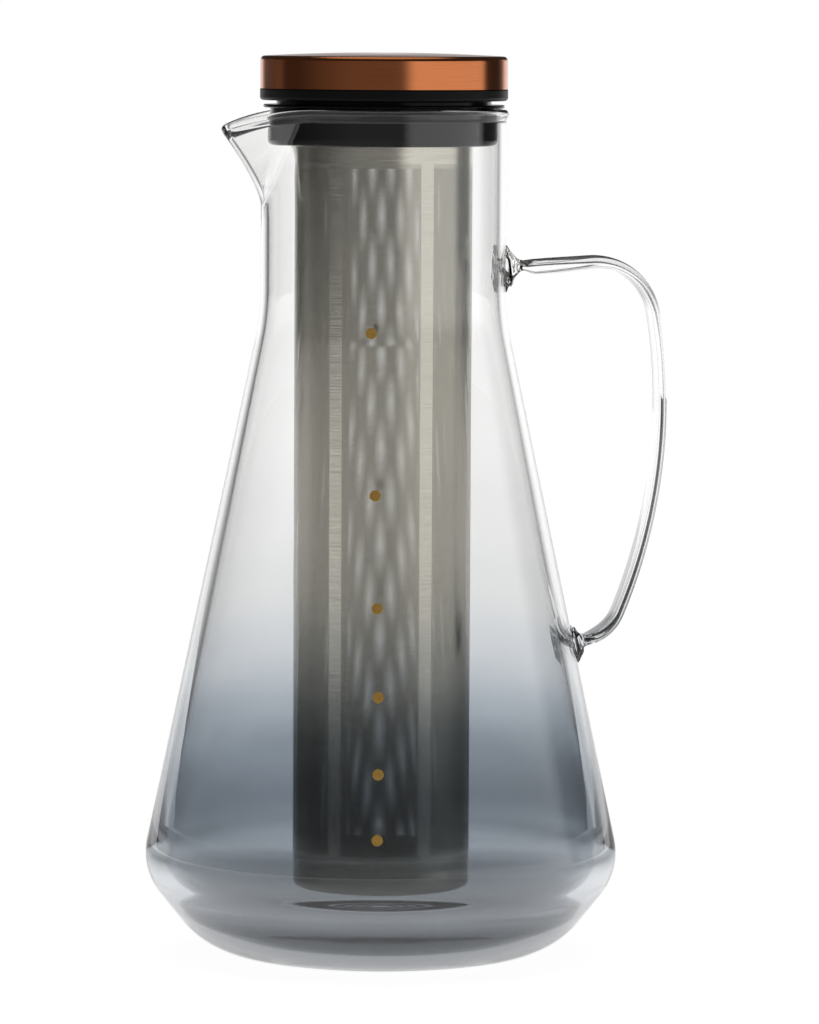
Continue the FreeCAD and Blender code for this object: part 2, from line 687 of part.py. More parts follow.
def handle_pad(label, envelope, across, up, tilt, depth):
    """The gather of glass that flares from the strap's end on to the wall, cut to the wall's curve."""
    body = new_body(label + "_blank")
    near = strap_section(body, label + "_strap")
    far = strap_section(body, label + "_wall", "pad_width", "pad_tall", "pad_edge")
    bind(far.sketch, "AttachmentOffset.Base.z", f"-{depth}")
    sunk = strap_section(body, label + "_root", "pad_width", "pad_tall", "pad_edge")
    bind(sunk.sketch, "AttachmentOffset.Base.z", f"-{depth} - neck_wall")
    flare = body.newObject("PartDesign::AdditiveLoft", "Flare")
    flare.Profile = near.sketch
    flare.Sections = [far.sketch]
    root = body.newObject("PartDesign::AdditiveLoft", "Root")
    root.Profile = far.sketch
    root.Sections = [sunk.sketch]
    turn = FreeCAD.Rotation(Vector(0, 1, 0), -value(tilt))
    body.Placement = FreeCAD.Placement(Vector(value(across), 0, value(up)), turn)
    bind(body, "Placement.Base.x", across)
    bind(body, "Placement.Base.z", up)
    doc.recompute()
    return joined("Cut", label, body, envelope)


# ------------------------------------------------------------------------------- filter
def window_wedges():
    """Six wedges with a rib's width between them, as tall as the windows."""
    body = new_body("window_wedges")
    body.AllowCompound = True
    share = "(180 / window_count)"
    tip = f"(rib_width / 2 / sin({share}))"
    far = f"(2 * {TUBE_RADIUS})"
    side = f"(({far} - {tip}) * tan({share}))"
    outline = Outline(body, "wedge", "XY_Plane", WINDOW_BOTTOM)
    outline.polygon([(tip, "0"), (far, f"-{side}"), (far, side)])
    wedge = body.newObject("PartDesign::Pad", "Wedge")
    wedge.Profile = outline.sketch
    bind(wedge, "Length", WINDOW_HEIGHT)
    doc.recompute()
    pattern = body.newObject("PartDesign::PolarPattern", "Wedges")
    pattern.Originals = [wedge]
    pattern.Axis = (outline.sketch, ["N_Axis"])
    pattern.Angle = 360
    bind(pattern, "Occurrences", "window_count")
    body.Tip = pattern
    turn = value("filter_turn + 180 / window_count")
    body.Placement = FreeCAD.Placement(Vector(), FreeCAD.Rotation(Vector(0, 0, 1), turn))
    doc.recompute()
    return body


def filter_tube(wedges):
    """Rolled tube with a tall window between each two ribs."""
    blank = ring_blank("tube_blank", TUBE_RADIUS, TUBE_BORE, CUP_TOP, f"({LEDGE} - {CUP_TOP})")
    return joined("Cut", "filter_tube", blank, wedges)


def mesh_panels(wedges):
    """The etched panels, which fill the windows."""
    blank = ring_blank("panel_blank", TUBE_RADIUS, TUBE_BORE, WINDOW_BOTTOM, WINDOW_HEIGHT)
    return joined("Common", "mesh_panels", blank, wedges)


def filter_top_ring():
    """Flanged ring: its sleeve holds the tube and its flange lies on the collar's ledge."""
    return turned(
        "filter_top_ring",
        [
            (TUBE_BORE, LEDGE),
            (TUBE_RADIUS, LEDGE),
            (TUBE_RADIUS, COLLAR_BOTTOM),
            (SLEEVE_RADIUS, COLLAR_BOTTOM),
            (SLEEVE_RADIUS, LEDGE),
            (FLANGE_RADIUS, LEDGE),
            (FLANGE_RADIUS, FLANGE_TOP),
            (TUBE_BORE, FLANGE_TOP),
        ],
    )


def filter_bottom_cup():
    """Drawn cup with a joggled lip inside the tube."""
    lip = f"({TUBE_BORE} - tube_wall)"
    lip_top = f"({CUP_TOP} + cup_lip)"
    body = turned(
        "filter_bottom_cup",
        [
            ("0", "cup_bottom"),
            (TUBE_RADIUS, "cup_bottom"),
            (TUBE_RADIUS, CUP_TOP),
            (TUBE_BORE, CUP_TOP),
            (TUBE_BORE, lip_top),
            (lip, lip_top),
            (lip, "cup_bottom + tube_wall"),
            ("0", "cup_bottom + tube_wall"),
        ],
    )
    round_edges(body, "cup_round", (TUBE_RADIUS, "cup_bottom"))
    round_edges(body, "cup_round - tube_wall", (lip, "cup_bottom + tube_wall"))
    return body


def seal_collar():
    """Silicone collar: plug in the neck, fin over the rim, hub under the lid, ledge for the flange."""
    body = turned(
        "seal_collar",
        [
            (SLEEVE_RADIUS, COLLAR_BOTTOM),
            (COLLAR_RADIUS, COLLAR_BOTTOM),
            (COLLAR_RADIUS, FIN_BOTTOM),
            (FIN_RADIUS, FIN_BOTTOM),
            (FIN_RADIUS, FIN_TOP),
            (HUB_RADIUS, FIN_TOP),
            (HUB_RADIUS, HUB_TOP),
            (POCKET_RADIUS, HUB_TOP),
            (POCKET_RADIUS, LEDGE),
            (SLEEVE_RADIUS, LEDGE),
        ],
    )
    round_edges(body, "collar_round", (COLLAR_RADIUS, COLLAR_BOTTOM))
    round_edges(body, "fin_round", (FIN_RADIUS, FIN_BOTTOM), (FIN_RADIUS, FIN_TOP))
    return body


# ------------------------------------------------------------------------------- lid
def lid_cap():
    """Drawn steel shell: domed top, rounded edge, straight skirt."""
    body = turned(
        "lid_cap",
        [
            (CAP_RADIUS, CAP_BOTTOM),
            (CAP_RADIUS, CAP_EDGE),
            ("0", CAP_TOP),
            ("0", f"{CAP_TOP} - cap_wall"),
            (CAP_BORE, CAP_INNER_EDGE),
            (CAP_BORE, CAP_BOTTOM),
        ],
        domes=(1, 3),
    )
    round_edges(body, "cap_round", (CAP_RADIUS, CAP_EDGE))
    round_edges(body, "cap_round - cap_wall", (CAP_BORE, CAP_INNER_EDGE))
    return body


def lid_core():
    """Moulded insert: fills the cap, carries the ring, and plugs the filter with a grooved wall."""
    roof = f"({LID_BOTTOM} + recess_depth)"
    bore = f"({PLUG_RADIUS} - plug_wall)"
    plug_bottom = f"({LID_BOTTOM} - plug_depth)"
    step = f"({FLANGE_TOP} + clearance)"
    body = turned(
        "lid_core",
        [
            ("0", roof),
            (bore, roof),
            (bore, plug_bottom),
            (PLUG_RADIUS, plug_bottom),
            (PLUG_RADIUS, GROOVE_BOTTOM),
            (GROOVE_RADIUS, GROOVE_BOTTOM),
            (GROOVE_RADIUS, GROOVE_TOP),
            (PLUG_RADIUS, GROOVE_TOP),
            (PLUG_RADIUS, step),
            (FLANGE_RADIUS, step),
            (FLANGE_RADIUS, LID_BOTTOM),
            (RING_SEAT, LID_BOTTOM),
            (RING_SEAT, CAP_BOTTOM),
            (CAP_BORE, CAP_BOTTOM),
            (CAP_BORE, CAP_INNER_EDGE),
            ("0", f"{CAP_TOP} - cap_wall"),
        ],
        domes=(14,),
    )
    round_edges(body, "cap_round - cap_wall", (CAP_BORE, CAP_INNER_EDGE))
    return body


def lid_ring():
    """Silicone grip ring between the cap and the collar."""
    body = ring_blank("lid_ring", RING_RADIUS, RING_SEAT, LID_BOTTOM, "ring_height")
    round_edges(body, "ring_round", (RING_RADIUS, LID_BOTTOM))
    round_edges(body, "fin_round", (RING_RADIUS, CAP_BOTTOM))
    return body


def lid_seal():
    """Silicone ring in the plug's groove, just clear of the tube."""
    outer = f"({TUBE_BORE} - clearance)"
    body = ring_blank("lid_seal", outer, GROOVE_RADIUS, GROOVE_BOTTOM, "seal_height")
    round_edges(body, "seal_round", (outer, GROOVE_BOTTOM), (outer, GROOVE_TOP))
    return body


# ------------------------------------------------------------------------------- assembly
def build():
    """Make every piece, in the order in which they go together."""
    envelope = glass_envelope()
    wedges = window_wedges()
    return [
        carafe_glass(),
        handle_strap(),
        handle_pad(
            "handle_pad_upper", envelope, HANDLE_START_X, "handle_start", HANDLE_RISE, "pad_depth"
        ),
        handle_pad(
            "handle_pad_lower", envelope, HANDLE_END_X, HANDLE_END_Z, CONE_TILT, "foot_depth"
        ),
        level_marks(envelope),
        seal_collar(),
        filter_top_ring(),
        filter_tube(wedges),
        mesh_panels(wedges),
        filter_bottom_cup(),
        lid_cap(),
        lid_core(),
        lid_ring(),
        lid_seal(),
    ]


def write(pieces):
    """Check the document and write each piece to its own file."""
    doc.recompute()
    for thing in doc.Objects:
        if "Invalid" in thing.State or "Error" in thing.State:
            raise RuntimeError(f"{thing.Label} did not build")
    os.makedirs("parts", exist_ok=True)
    for piece in pieces:
        if piece.Shape.isNull() or not piece.Shape.isValid():
            raise RuntimeError(f"{piece.Label} has no sound shape")
        piece.Shape.exportStep(f"parts/{piece.Label}.step")
        shape = piece.Shape
        print(piece.Label, len(shape.Solids), round(shape.Volume, 1), shape.BoundBox)


write(build())
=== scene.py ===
import math

import bpy
import numpy as np
from mathutils import Matrix, Vector


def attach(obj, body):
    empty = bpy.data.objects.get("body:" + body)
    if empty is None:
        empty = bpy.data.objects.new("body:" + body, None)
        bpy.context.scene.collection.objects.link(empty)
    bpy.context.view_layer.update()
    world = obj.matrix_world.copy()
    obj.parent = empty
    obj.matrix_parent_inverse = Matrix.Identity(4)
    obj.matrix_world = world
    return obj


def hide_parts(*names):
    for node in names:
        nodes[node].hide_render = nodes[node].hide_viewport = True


# A cold brew coffee maker on a plain white table in soft studio light. Sizes are in millimetres
# until they reach a mesh, and in metres in the node trees. The frame is the CAD frame, with the
# handle along +X and the spout along -X.

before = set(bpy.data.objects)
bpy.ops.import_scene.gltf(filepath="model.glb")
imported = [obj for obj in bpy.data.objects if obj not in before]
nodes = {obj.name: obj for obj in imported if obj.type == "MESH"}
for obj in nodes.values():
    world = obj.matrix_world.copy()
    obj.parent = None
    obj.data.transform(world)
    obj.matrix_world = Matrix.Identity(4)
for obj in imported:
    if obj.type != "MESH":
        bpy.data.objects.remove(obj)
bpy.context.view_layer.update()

MM = 0.001
PI = math.pi


# ------------------------------------------------------------------------------- camera
CAMERA_PLACE = (-217.3, -1837.2, 280.0)
CAMERA_TURN, CAMERA_DIP, CAMERA_ROLL = 7.0, 4.53, 0.28  # degrees
FOCAL_LENGTH = 216.8


def set_camera():
    """A long lens a little above the carafe, turned a little from its front."""
    data = bpy.data.cameras.new("camera")
    data.lens = FOCAL_LENGTH
    data.clip_end = 20
    camera = bpy.data.objects.new("camera", data)
    bpy.context.scene.collection.objects.link(camera)
    camera.matrix_world = (
        Matrix.Translation(Vector(CAMERA_PLACE) * MM)
        @ Matrix.Rotation(math.radians(-CAMERA_TURN), 4, "Z")
        @ Matrix.Rotation(math.radians(90 - CAMERA_DIP), 4, "X")
        @ Matrix.Rotation(math.radians(CAMERA_ROLL), 4, "Z")
    )
    bpy.context.scene.camera = camera


# ------------------------------------------------------------------------------- node helpers
NOISE_RANGE = (0.3, 0.7)  # where nearly all of a noise's values lie


class Graph:
    """Short calls that add nodes to a material's or the world's tree."""

    def __init__(self, tree):
        self.nodes, self.links = tree.nodes, tree.links

    def feed(self, socket, source):
        """Link a socket to another, or set its value."""
        if isinstance(source, bpy.types.NodeSocket):
            self.links.new(source, socket)
        else:
            socket.default_value = source

    def add(self, kind, inputs=(), **settings):
        """A node with some settings and some of its inputs fed."""
        node = self.nodes.new("ShaderNode" + kind)
        for name, setting in settings.items():
            setattr(node, name, setting)
        for place, source in dict(inputs).items():
            self.feed(node.inputs[place], source)
        return node

    def math(self, operation, *sources):
        """The result of a Math node."""
        return self.add("Math", enumerate(sources), operation=operation).outputs[0]

    def remap(self, source, low, high, to_low=0.0, to_high=1.0, kind="LINEAR"):
        """A value carried from one range to another."""
        ends = enumerate((source, low, high, to_low, to_high))
        return self.add("MapRange", ends, interpolation_type=kind).outputs[0]

    def mix(self, share, first, second, blend="MIX"):
        """A colour between two, or the two multiplied."""
        inputs = {0: share, 6: first, 7: second}
        return self.add("Mix", inputs, data_type="RGBA", blend_type=blend).outputs[2]

    def ramp(self, source, stops, kind="EASE"):
        """A colour ramp through (position, grey or colour)."""
        node = self.add("ValToRGB", {0: source})
        node.color_ramp.interpolation = kind
        elements = node.color_ramp.elements
        elements.remove(elements[1])
        for place, (position, colour) in enumerate(stops):
            element = elements[0] if place == 0 else elements.new(position)
            element.position = position
            element.color = grey(colour) if isinstance(colour, (int, float)) else (*colour, 1)
        return node.outputs[0]

    def point(self):
        """The object's own point, in metres."""
        return self.add("TexCoord").outputs["Object"]

    def height(self):
        """Height of the object's own point, in metres."""
        return self.add("SeparateXYZ", {0: self.point()}).outputs[2]

    def angle(self):
        """Angle of the object's own point about the axis."""
        x, y = self.add("SeparateXYZ", {0: self.point()}).outputs[:2]
        return self.math("ARCTAN2", y, x)

    def noise(self, point, scale, detail, stretch=(1, 1, 1)):
        """Noise, which can be stretched along the axes."""
        spread = self.add("Mapping", {0: point, 3: stretch}).outputs[0]
        inputs = {"Vector": spread, "Scale": scale, "Detail": detail}
        return self.add("TexNoise", inputs).outputs[0]

    def bump(self, height, strength, distance):
        """A bump normal."""
        inputs = {"Height": height, "Strength": strength, "Distance": distance}
        return self.add("Bump", inputs).outputs[0]

    def seen(self):
        """1 for a ray straight from the camera, otherwise 0."""
        return self.add("LightPath").outputs["Is Camera Ray"]


def grey(level):
    """A grey as a colour with its alpha."""
    return (level, level, level, 1)


def new_material(name, **sockets):
    """A material with one Principled shader, its graph and some values set."""
    material = bpy.data.materials.new(name)
    material.use_nodes = True
    graph = Graph(material.node_tree)
    shader = material.node_tree.nodes["Principled BSDF"]
    for socket, setting in sockets.items():
        shader.inputs[socket.replace("_", " ")].default_value = setting
    return material, graph, shader


# ------------------------------------------------------------------------------- light
# What stands round the object at table height: degrees from the camera's line of sight, to the
# right of it, and brightness. From the left: dim room, dark gap, a dim card, dark gap, the white
# backdrop, dark gap, a tall softbox and the dim room again.
SURROUND = (
    (-180, 0.17), (-150, 0.17), (-120, 0.11), (-95, 0.05), (-75, 0.05), (-70, 0.14),
    (-60, 0.14), (-52, 0.04), (-35, 0.04), (-28, 0.5), (-23, 1.06), (28, 1.06), (34, 0.5),
    (38, 0.04), (70, 0.04), (76, 0.96), (152, 0.96), (162, 0.17),
)  # fmt: skip
STRENGTH = 1.5  # of the surround, so that its ramp stays under 1
# three more levels, as shares of that strength
GAP_FILL = 0.1  # the least in the gaps beside the backdrop, above the table's edge
CEILING, LAMP = 0.03, 0.5


def set_world():
    """A studio that reflections and refractions see; the camera itself sees plain white."""
    world = bpy.data.worlds.new("studio")
    bpy.context.scene.world = world
    world.use_nodes = True
    graph = Graph(world.node_tree)
    studio = world.node_tree.nodes["Background"]
    output = world.node_tree.nodes["World Output"]
    direction = graph.add("TexCoord").outputs["Generated"]
    x, y, z = graph.add("SeparateXYZ", {0: direction}).outputs
    bearing = graph.math("SUBTRACT", graph.math("ARCTAN2", x, y), math.radians(CAMERA_TURN))
    turn = graph.math("FRACT", graph.math("MULTIPLY_ADD", bearing, 0.5 / PI, 0.5))
    stops = [((angle + 180) / 360, level / STRENGTH) for angle, level in SURROUND]
    around = graph.ramp(turn, stops, "LINEAR")
    # above the table's edge some grey fills the gaps beside the backdrop
    above = graph.remap(z, -0.04, -0.01, 0.0, GAP_FILL)
    fill = graph.math("MULTIPLY", above, graph.remap(y, 0.6, 0.66))
    around = graph.math("MAXIMUM", around, fill)
    # the surround ends in a dark ceiling, lower right behind the object than elsewhere
    edge = graph.remap(y, 0.75, 0.87, 0.1, 0.02)
    high = graph.remap(z, edge, graph.math("MULTIPLY_ADD", edge, 1.5, 0.1))
    sides = graph.mix(high, around, grey(CEILING))
    whole = graph.mix(graph.remap(z, 0.8, 0.9), sides, grey(LAMP))
    graph.feed(studio.inputs["Color"], whole)
    studio.inputs["Strength"].default_value = STRENGTH
    white = graph.add("Background", {"Color": grey(1), "Strength": 1.0}).outputs[0]
    both = graph.add("MixShader", {0: graph.seen(), 1: studio.outputs[0], 2: white})
    graph.feed(output.inputs["Surface"], both.outputs[0])


TABLE_RADIUS, TABLE_DROP = 2.4, 0.0003  # metres; it lies just under the glass
TABLE_GLOW = 0.95
# dark cards on the table: place in metres, reach in metres, and the share of the glow left there
CARDS = (
    ((-0.45, 0.3, 0), 0.46, 0.2),
    ((-0.4, -0.15, 0), 0.38, 0.5),
    ((0.45, 0.3, 0), 0.42, 0.3),
    ((0, -0.5, 0), 0.5, 0.5),
)


def add_floor():
    """A white table that glows a little, as a light table does."""
    steps = 96
    ring = [
        (TABLE_RADIUS * math.cos(a), TABLE_RADIUS * math.sin(a), -TABLE_DROP)
        for a in np.linspace(0, 2 * PI, steps + 1)[:-1]
    ]
    floor = new_mesh("floor", ring, [tuple(range(steps))])
    material, graph, shader = new_material("white_table", Roughness=0.6)
    shader.inputs["Base Color"].default_value = grey(0.3)
    shader.inputs["Emission Color"].default_value = grey(1)
    # the cards keep the glow off the filter's edges and its lower end; the camera can't see them
    point = graph.point()
    glow = TABLE_GLOW
    for spot, reach, level in CARDS:
        away = graph.add("VectorMath", {0: point, 1: spot}, operation="DISTANCE")
        kept = graph.remap(away.outputs["Value"], 0.5 * reach, reach, level, 1.0, "SMOOTHSTEP")
        glow = graph.math("MULTIPLY", glow, kept)
    glow = graph.math("MAXIMUM", glow, graph.math("MULTIPLY", graph.seen(), TABLE_GLOW))
    graph.feed(shader.inputs["Emission Strength"], glow)
    floor.data.materials.append(material)


# ------------------------------------------------------------------------------- mesh helpers
def new_mesh(name, points, faces):
    """An object made from points in metres."""
    mesh = bpy.data.meshes.new(name)
    mesh.from_pydata([tuple(point) for point in points], [], faces)
    mesh.validate()
    piece = bpy.data.objects.new(name, mesh)
    bpy.context.scene.collection.objects.link(piece)
    return piece


def band(low, high, count):
    """Faces between two closed rows of points, given by the first point of each."""
    faces = []
    for k in range(count):
        after = (k + 1) % count
        faces.append((low + k, low + after, high + after, high + k))
    return faces


def outward(piece):
    """Turn the faces so that their normals point out of the solid."""
    bpy.context.view_layer.objects.active = piece
    bpy.ops.object.mode_set(mode="EDIT")
    bpy.ops.mesh.select_all(action="SELECT")
    bpy.ops.mesh.normals_make_consistent(inside=False)
    bpy.ops.object.mode_set(mode="OBJECT")


def arc(centre, radius, start, end, steps):
    """Points of an arc between two angles."""
    return [
        (centre[0] + radius * math.cos(a), centre[1] + radius * math.sin(a))
        for a in np.linspace(start, end, steps + 1)
    ]


def dome(top, edge, steps):
    """Points of an arc from a point on the axis to an edge, with its centre on the axis."""
    centre = (edge[0] ** 2 + edge[1] ** 2 - top[1] ** 2) / (2 * (edge[1] - top[1]))
    radius = abs(top[1] - centre)
    sign = 1 if top[1] > centre else -1
    start, end = sign * PI / 2, math.atan2(edge[1] - centre, edge[0])
    return arc((0, centre), radius, start, end, steps)


def run(start, end, steps):
    """Evenly spaced points between two points, without the ends."""
    across, up = end[0] - start[0], end[1] - start[1]
    return [(start[0] + across * k / steps, start[1] + up * k / steps) for k in range(1, steps)]


def tangent_angle(first, first_radius, second, second_radius):
    """Angle of the normal of the line that two circles share; a negative radius swaps its side."""
    across, up = second[0] - first[0], second[1] - first[1]
    lean = math.acos((first_radius - second_radius) / math.hypot(across, up))
    return math.atan2(up, across) - lean


# ------------------------------------------------------------------------------- glass
# The profile's bends: radius and height of their centres, then the radii of both walls there.
FOOT, SHOULDER, BOWL, SWEEP = (38.1, 28.6), (51.9, 30.7), (15.2, 30.7), (114.6, 201.0)
FOOT_OUT, FOOT_IN = 28.6, 24.1
SHOULDER_OUT, HEEL_IN, BOWL_IN = 19.1, 13.3, 50.0
SWEEP_OUT, SWEEP_IN = 77.8, 80.2
NECK, BORE, RIM_TOP = 36.8, 34.4, 254.5
STAND, PUSH_UP = 34.0, 3.0  # inner radius of the ring it stands on, rise of the base inside it
INSIDE_FLOOR, BOSS_RADIUS, BOSS_RISE = 4.5, 23.0, 2.8
CONE_LEAN = tangent_angle(SHOULDER, SHOULDER_OUT, SWEEP, -SWEEP_OUT)

# The spout is a round nose and two flanks drawn out of the neck; its lip falls in an arc.
SPOUT_START, SPOUT_RISE = 225.0, 23.5
SPOUT_ROOT, SPOUT_WALL = 36.5, 2.3
NOSE_RADIUS, NOSE_FLARE, NOSE_REACH = 5.5, 2.6, 12.9
LIP_START, LIP_SWEEP = 22.0, 66.94
BEAD, BEAD_OUT, BEAD_RISE = 3.0, 0.7, 1.55  # the rim's rounded edge


def neck_points(radius):
    """The straight part of the neck that the spout is drawn from, up to the bead."""
    return [(radius, z) for z in np.linspace(SPOUT_START, RIM_TOP - BEAD, 24)]


def outside_profile():
    """Radius and height of the outer wall, from under the base up to the bead."""
    low = tangent_angle(FOOT, FOOT_OUT, SHOULDER, SHOULDER_OUT)
    points = dome((0, PUSH_UP), (STAND, 0), 10)
    points += arc(FOOT, FOOT_OUT, -PI / 2, low, 16)
    points += arc(SHOULDER, SHOULDER_OUT, low, CONE_LEAN, 24)
    sweep = arc(SWEEP, SWEEP_OUT, PI + CONE_LEAN, PI, 10)
    points += run(points[-1], sweep[0], 16) + sweep
    points += run(sweep[-1], (NECK, SPOUT_START), 6)
    return points + neck_points(NECK)


def inside_profile():
    """Radius and height of the inner wall, from the floor up to the bead."""
    low = tangent_angle(FOOT, FOOT_IN, SHOULDER, HEEL_IN)
    high = tangent_angle(BOWL, BOWL_IN, SWEEP, -SWEEP_IN)
    points = []
    # a soft boss with faint rings, as the glass maker leaves it
    for r in np.linspace(0, BOSS_RADIUS, 70):
        ripple = 0.22 * math.sin(r) * min(r / 8, 1, (BOSS_RADIUS - r) / 4)
        rise = BOSS_RISE * math.cos(PI * r / (2 * BOSS_RADIUS)) ** 2
        points.append((r, INSIDE_FLOOR + rise + ripple))
    points += run((BOSS_RADIUS, INSIDE_FLOOR), (FOOT[0], INSIDE_FLOOR), 3)
    points += arc(FOOT, FOOT_IN, -PI / 2, low, 16) + arc(SHOULDER, HEEL_IN, low, 0, 16)
    points += arc(BOWL, BOWL_IN, 0, high, 10)[1:]
    sweep = arc(SWEEP, SWEEP_IN, PI + high, PI, 10)
    points += run(points[-1], sweep[0], 16) + sweep
    points += run(sweep[-1], (BORE, SPOUT_START), 6)
    return points + neck_points(BORE)


def spout_radius(turn, z, wall):
    """Distance from the axis to the spout's wall, at an angle from the spout and a height."""
    share = np.clip((z - SPOUT_START) / SPOUT_RISE, 0, None)
    root = SPOUT_ROOT
    nose = NOSE_RADIUS * (1 + NOSE_FLARE * np.clip(1 - share, 0, 1) ** 2)
    # the tip starts 0.15 outside the root, so that the flanks always touch the nose
    middle = root + 0.15 + NOSE_REACH * share**1.4 - nose
    lean = np.arccos((root - nose) / middle)
    root, nose = root - wall, nose - wall
    side = np.abs(turn)
    touch = np.arctan2(nose * np.sin(lean), middle + nose * np.cos(lean))
    reach = np.clip(nose**2 - (middle * np.sin(side)) ** 2, 0, None)
    round_nose = middle * np.cos(side) + np.sqrt(reach)
    flank = root / np.cos(np.clip(lean - side, 0, 1.2))
    beyond = root * np.cos(np.clip(side - lean, 0, PI / 2))
    radius = np.where(side < touch, round_nose, np.where(side < lean, flank, beyond))
    return np.where(z < SPOUT_START, 0.0, radius)


def wall_radius(turn, z, radius, wall):
    """Radius of a wall of the neck with the spout drawn softly out of it."""
    spout, soft = spout_radius(turn, z, wall), 0.3
    drawn = (radius + spout + np.sqrt((radius - spout) ** 2 + soft**2)) / 2
    return np.where(z < SPOUT_START, radius, drawn)


def lip_height(turn):
    """Height of the lip at an angle from the spout: it falls in an arc from the rim to the tip."""
    height = np.full_like(turn, RIM_TOP)
    # the wall leans out, so height and reach are found in turns
    for _ in range(12):
        outer = wall_radius(turn, height - BEAD, NECK, 0)
        inner = wall_radius(turn, height - BEAD, BORE, SPOUT_WALL)
        along = np.clip((outer + inner) / 2 * np.cos(turn) - LIP_START, 0, LIP_SWEEP)
        height = RIM_TOP - LIP_SWEEP + np.sqrt(LIP_SWEEP**2 - along**2)
    return height


def carafe_columns():
    """Angles from the spout, closer together where the spout is."""
    near = np.arange(0, 12, 0.5)
    middle = np.arange(12, 52, 1.0)
    far = np.arange(52, 180, 1.6)
    half = np.concatenate([near, middle, far])
    return np.radians(np.concatenate([half, [180.0], -half[:0:-1]]))


def wall_rows(profile, turn, lip, neck, wall):
    """Radii and heights round one wall, row by row, with the neck lowered to meet the lip."""
    rows = []
    for radius, z in profile[1:]:
        share = np.clip((z - SPOUT_START) / (RIM_TOP - BEAD - SPOUT_START), 0, 1)
        height = z - (RIM_TOP - lip) * share**2 * (3 - 2 * share)
        if z >= SPOUT_START:
            radius = wall_radius(turn, height, neck, wall)
        rows.append((np.broadcast_to(radius, turn.shape), height))
    return rows


def carafe_mesh():
    """The glass as one closed skin: outside, bead and inside, with the spout drawn out of it."""
    turn = carafe_columns()
    lip = lip_height(turn)
    outside = wall_rows(outside_profile(), turn, lip, NECK, 0)
    inside = wall_rows(inside_profile(), turn, lip, BORE, SPOUT_WALL)
    outer, inner = outside[-1][0] + BEAD_OUT, inside[-1][0]
    middle, half = (outer + inner) / 2, (outer - inner) / 2
    bead = [
        (middle + half * math.cos(a), lip - BEAD_RISE + BEAD_RISE * math.sin(a))
        for a in np.linspace(0, PI, 11)
    ]
    rows = [
        np.stack([-radius * np.cos(turn), -radius * np.sin(turn), height], 1)
        for radius, height in outside + bead + inside[::-1]
    ]
    points = [(0, 0, PUSH_UP)] + [tuple(point) for row in rows for point in row]
    points.append((0, 0, INSIDE_FLOOR + BOSS_RISE))
    columns = len(turn)
    last, top = 1 + (len(rows) - 1) * columns, len(points) - 1
    faces = []
    for low in range(1, last, columns):
        faces += band(low, low + columns, columns)
    for k in range(columns):
        after = (k + 1) % columns
        faces.append((0, 1 + after, 1 + k))
        faces.append((last + k, last + after, top))
    return new_mesh("carafe", np.array(points) * MM, faces)


# ------------------------------------------------------------------------------- handle
# Its centre line lies in the plane of the spout, as bends that touch each other: a small upper
# bend, the long bow that the hand holds, and a small lower bend.
GRIP, GRIP_RADIUS = (-80.2, 166.0), 165.0
TOP_HEIGHT, TOP_BEND = 190.0, 19.0
LOW_BEND, LOW_GAP = 14.0, 4.2  # the gap is from the cone to the lower bend's centre
STRAP_START = (42.4, 207.4)
START_DEPTH, END_DEPTH = 7.6, 6.2  # how far the ends reach on into the welds and walls

# Sections at both ends: distance from the end, width, thickness, corner and shift outwards.
UPPER_END = (
    (0, 12, 12, 5.4, 0), (2.4, 12.6, 12.6, 5.8, 0), (3.2, 12.2, 11.8, 5.6, 0),
    (3.9, 11, 9.0, 4.2, 0.1), (4.6, 9.5, 6.6, 3.0, 0.3), (5.6, 8.6, 4.4, 2.1, 0.5),
    (6.6, 8.6, 3.0, 1.45, 0.4), (7.4, 10, 2.8, 1.3, 0.3), (8.2, 12, 3.4, 1.4, 0.1),
    (9.6, 13.6, 4.2, 1.4, -0.2), (10.8, 14, 4.5, 1.4, -0.3), (16, 14, 4.5, 1.4, -0.3),
    (22, 14, 4.2, 1.4, -0.25), (34, 14, 3.4, 1.4, 0),
)  # fmt: skip
LOWER_END = (
    (0, 12, 9, 4, 0), (2.4, 12.4, 10.6, 5, 0), (3.2, 12, 10.0, 4.8, 0),
    (4.0, 10.5, 7.0, 3.4, 0), (5.0, 9.5, 4.4, 2.1, 0), (6.6, 9.5, 3.4, 1.6, 0),
    (8.4, 12, 3.6, 1.5, 0), (11, 14, 3.7, 1.4, 0), (20, 14, 3.4, 1.4, 0),
)  # fmt: skip
CORNER_SHARE = 0.62  # of a section's corner that is rounded
CAMBER, CAMBER_UNDER = 1.4, 6.0  # crown of the outer face, on sections thinner than this


